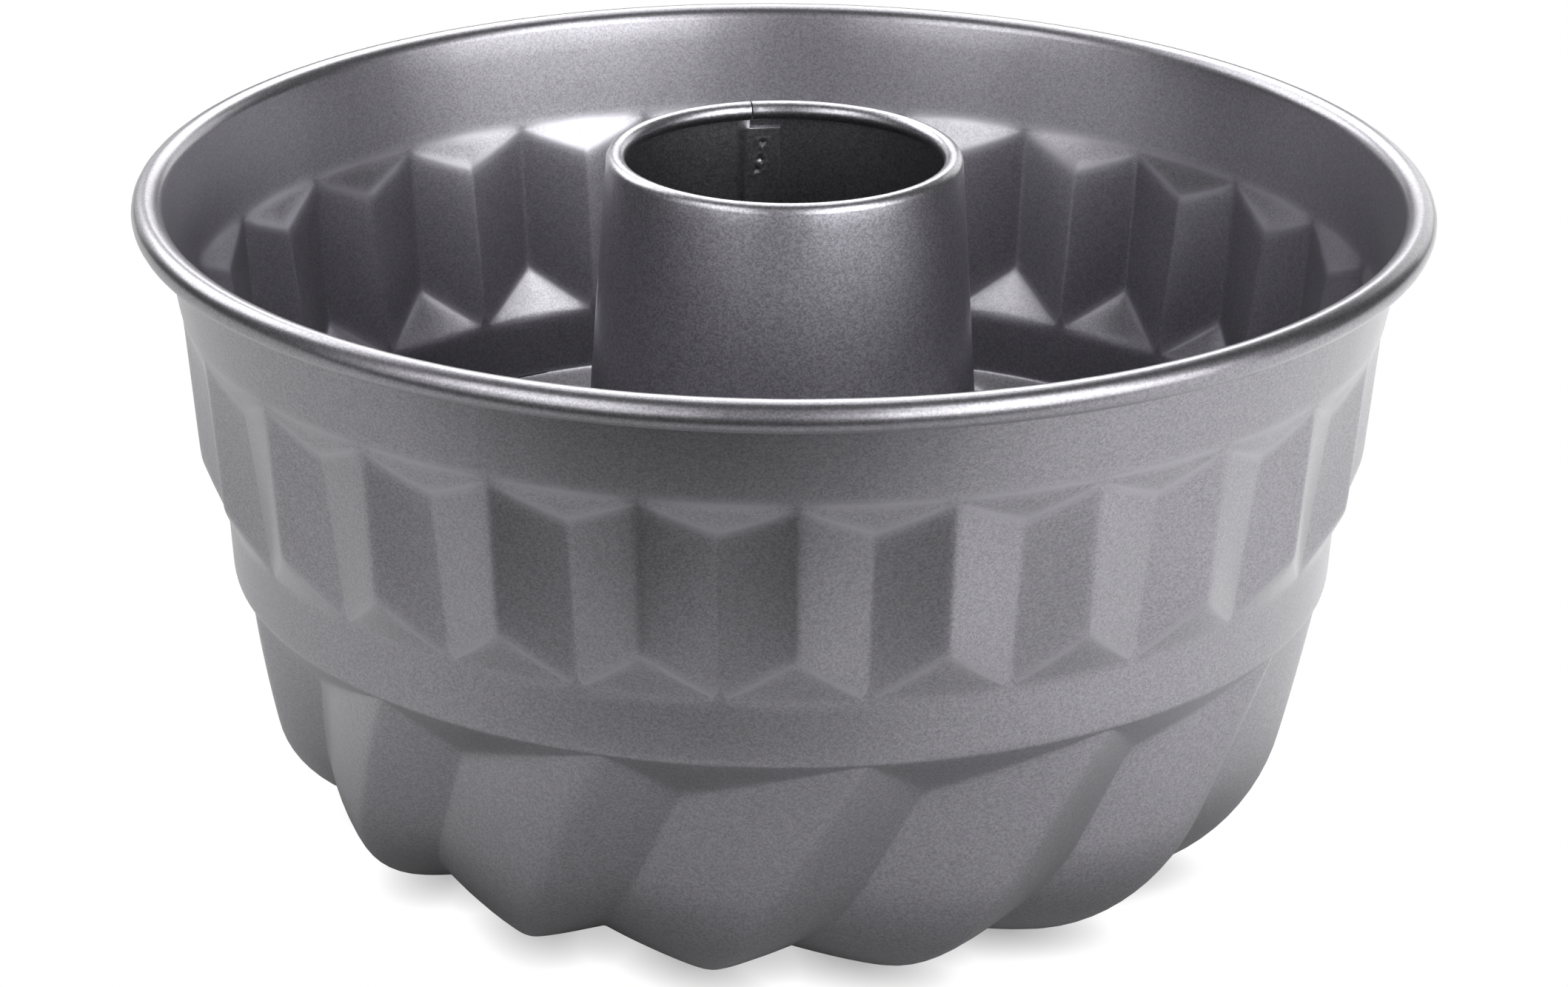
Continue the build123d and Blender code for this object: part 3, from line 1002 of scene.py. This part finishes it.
# ---- studio -----------------------------------------------------------------------------
@dataclass(frozen=True)
class Softbox:
    """A soft square lamp that looks at the pan, given by where it hangs round the pan."""

    name: str
    azimuth: float
    elevation: float
    side: float
    brightness: float
    distance: float = 1.3

    def hang(self, target: Vector) -> None:
        """Hang the lamp so that it faces the target.

        Args:
            target: the point that it faces, in metres in the pan's frame.
        """
        data = bpy.data.lights.new(self.name, "AREA")
        data.shape = "SQUARE"
        data.size = self.side
        data.energy = self.brightness * math.pi * self.side ** 2
        lamp = bpy.data.objects.new(self.name, data)
        reach = self.distance * math.cos(math.radians(self.elevation))
        rise = self.distance * math.sin(math.radians(self.elevation))
        lamp.location = target + around(reach, rise, self.azimuth)
        lamp.rotation_euler = (target - lamp.location).to_track_quat("-Z", "Y").to_euler()
        lamp.visible_camera = False
        bpy.context.scene.collection.objects.link(lamp)


@dataclass
class Studio:
    """Pale table, dim surroundings, softboxes and the camera."""

    floor_size: float = 6.0
    lens: float = 114.05
    sensor: float = 36.0
    distance: float = 802.5 * MM
    height: float = 375.8 * MM
    pitch: float = 21.532
    yaw: float = 0.031
    roll: float = 0.559
    ambient: float = 0.06
    target: tuple[float, float, float] = (0.0, 0.0, 0.07)
    boxes: tuple[Softbox, ...] = (
        Softbox("key_box", 60.0, 14.0, 0.65, 3.3),
        Softbox("front_key_box", 30.0, 14.0, 0.65, 4.0),
        Softbox("front_fill_box", 330.0, 14.0, 0.65, 2.2),
        Softbox("left_box", 300.0, 14.0, 0.65, 0.7),
        Softbox("right_upper_box", 45.0, 36.0, 0.70, 4.5),
        Softbox("left_upper_box", 315.0, 36.0, 0.70, 3.0),
        Softbox("back_top_box", 180.0, 62.0, 0.75, 2.2),
        Softbox("back_box", 180.0, 36.0, 0.70, 3.8),
        Softbox("back_left_box", 225.0, 36.0, 0.70, 3.9),
        Softbox("back_right_low_box", 150.0, 14.0, 0.65, 1.4),
        Softbox("back_left_low_box", 210.0, 14.0, 0.65, 0.6),
    )

    def lay_table(self) -> None:
        """Lay the pale table top under the pan."""
        bm = bmesh.new()
        bmesh.ops.create_grid(bm, x_segments=2, y_segments=2, size=self.floor_size / 2)
        table = finished_piece("table", bm)
        table.data.materials.append(PaleTable().material("pale_table"))

    def light(self) -> None:
        """Hang the softboxes and set the surroundings, white to the eye and dim to the pan."""
        for box in self.boxes:
            box.hang(Vector(self.target))
        world = bpy.data.worlds.new("surroundings")
        world.use_nodes = True
        nodes, links = world.node_tree.nodes, world.node_tree.links
        path = nodes.new("ShaderNodeLightPath")
        strength = nodes.new("ShaderNodeMapRange")
        strength.inputs["To Min"].default_value = self.ambient
        strength.inputs["To Max"].default_value = 1.0
        links.new(path.outputs["Is Camera Ray"], strength.inputs["Value"])
        links.new(strength.outputs["Result"], nodes["Background"].inputs["Strength"])
        nodes["Background"].inputs["Color"].default_value = (1, 1, 1, 1)
        bpy.context.scene.world = world

    def aim(self) -> None:
        """Set up the camera in front of the pan, looking slightly down."""
        data = bpy.data.cameras.new("camera")
        data.lens = self.lens
        data.sensor_width = self.sensor
        camera = bpy.data.objects.new("camera", data)
        turn = (Matrix.Rotation(math.radians(-self.yaw), 4, "Z")
                @ Matrix.Rotation(math.radians(90 - self.pitch), 4, "X")
                @ Matrix.Rotation(math.radians(self.roll), 4, "Z"))
        camera.matrix_world = Matrix.Translation((0, -self.distance, self.height)) @ turn
        bpy.context.scene.collection.objects.link(camera)
        bpy.context.scene.camera = camera
        bpy.context.scene.view_settings.view_transform = "Standard"


# ---- the pan ----------------------------------------------------------------------------
def dress(piece: bpy.types.Object, materials: list[bpy.types.Material], slot: str, *nodes: str) -> None:
    """Give a piece its finish and tie it to the frame.

    Args:
        piece: the finished piece.
        materials: its materials, the main one first.
        slot: not used.
        nodes: the CAD nodes that it stands for.
    """
    for material in materials:
        piece.data.materials.append(material)
    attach(piece, "root")
    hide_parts(*nodes)
    LOG.info("%s stands for %s: %d faces", piece.name, ", ".join(nodes), len(piece.data.polygons))


def main() -> None:
    """Build, dress and light the pan."""
    logging.basicConfig(level=logging.INFO, format="%(name)s: %(message)s")
    coating = NonStickCoating().material("non_stick_coating")
    # the chimney takes a lighter copy of the coating, with stronger grain: painted light that brightens
    # the whole tube
    tube_lit_copy = NonStickCoating(tone=(0.375, 0.367, 0.399), spread=0.45)
    lit_tube_coating = tube_lit_copy.material("non_stick_coating_lit_copy_on_chimney")
    # a lighter copy of the coating for the chimney's eased edges: a painted highlight
    edge_highlight_coating = NonStickCoating(tone=(0.47, 0.46, 0.48)).material("non_stick_coating_painted_edge_highlight")
    dress(PressedShell().build(), [coating], "coating", "bowl_shell")
    chimney_finishes = [lit_tube_coating, edge_highlight_coating]
    dress(Chimney().build(), chimney_finishes, "coating", "chimney_tube", "chimney_seam_welds")
    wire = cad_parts["rim_wire"]
    wire.data.materials.clear()
    wire.data.materials.append(DrawnWire().material("drawn_wire"))
    LOG.info("rim_wire keeps its shape inside the rolled edge")
    studio = Studio()
    studio.lay_table()
    studio.light()
    studio.aim()


if __name__ == "__main__":
    main()
